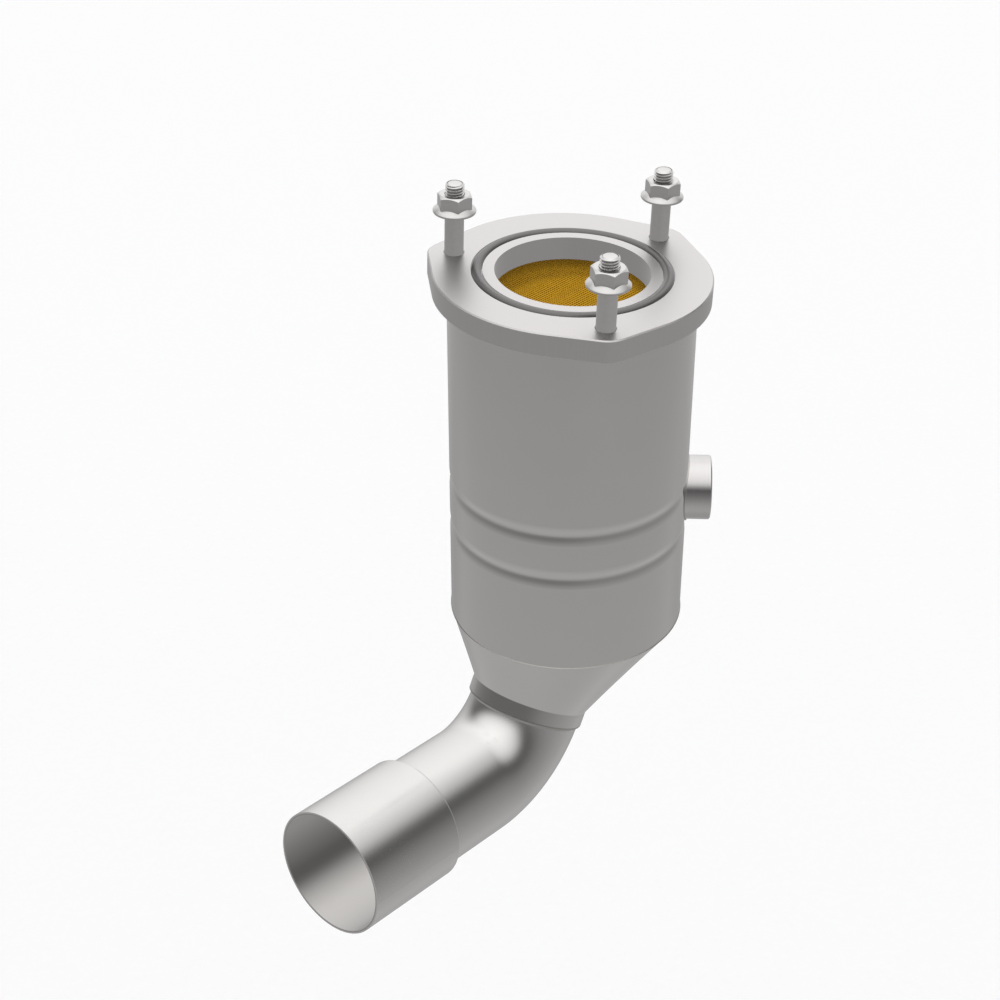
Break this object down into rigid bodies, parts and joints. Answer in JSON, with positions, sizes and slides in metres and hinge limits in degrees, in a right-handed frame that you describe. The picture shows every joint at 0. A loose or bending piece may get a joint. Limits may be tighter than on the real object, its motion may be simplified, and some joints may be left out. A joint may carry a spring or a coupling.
{
  "type": "catalytic converter",
  "caption": "Close-coupled exhaust catalytic converter: studded inlet flange with ring gasket, rolled can, oblique cone, bent slip outlet and sensor boss.",
  "frame": {"origin": "centre of the inlet flange's upper face", "axes": "+Z out of the inlet, square to the flange; the sensor boss points to +X, and the outlet pipe leaves toward -X and -Y"},
  "size_m": [0.1769, 0.1943, 0.2868],
  "materials": {
    "stainless": "satin",
    "gasket_steel": "matte",
    "plated_steel": "satin",
    "catalyst_ceramic": "matte",
    "fibre_mat": "matte",
    "wire_mesh": "matte",
    "weld_steel": "satin"
  },
  "bodies": {
    "root": {"inlet_flange": "stainless", "can_shell": "stainless", "outlet_cone": "stainless", "outlet_pipe": "stainless", "sensor_boss": "stainless", "ring_gasket": "gasket_steel", "stud_1": "plated_steel", "stud_2": "plated_steel", "stud_3": "plated_steel", "flange_nut_1": "plated_steel", "flange_nut_2": "plated_steel", "flange_nut_3": "plated_steel", "front_brick": "catalyst_ceramic", "rear_brick": "catalyst_ceramic", "front_mat": "fibre_mat", "rear_mat": "fibre_mat", "front_mat_upper_seal": "wire_mesh", "front_mat_lower_seal": "wire_mesh", "rear_mat_upper_seal": "wire_mesh", "rear_mat_lower_seal": "wire_mesh", "flange_weld": "weld_steel", "cone_weld": "weld_steel", "outlet_weld": "weld_steel", "boss_weld": "weld_steel"}
  },
  "joints": []
}
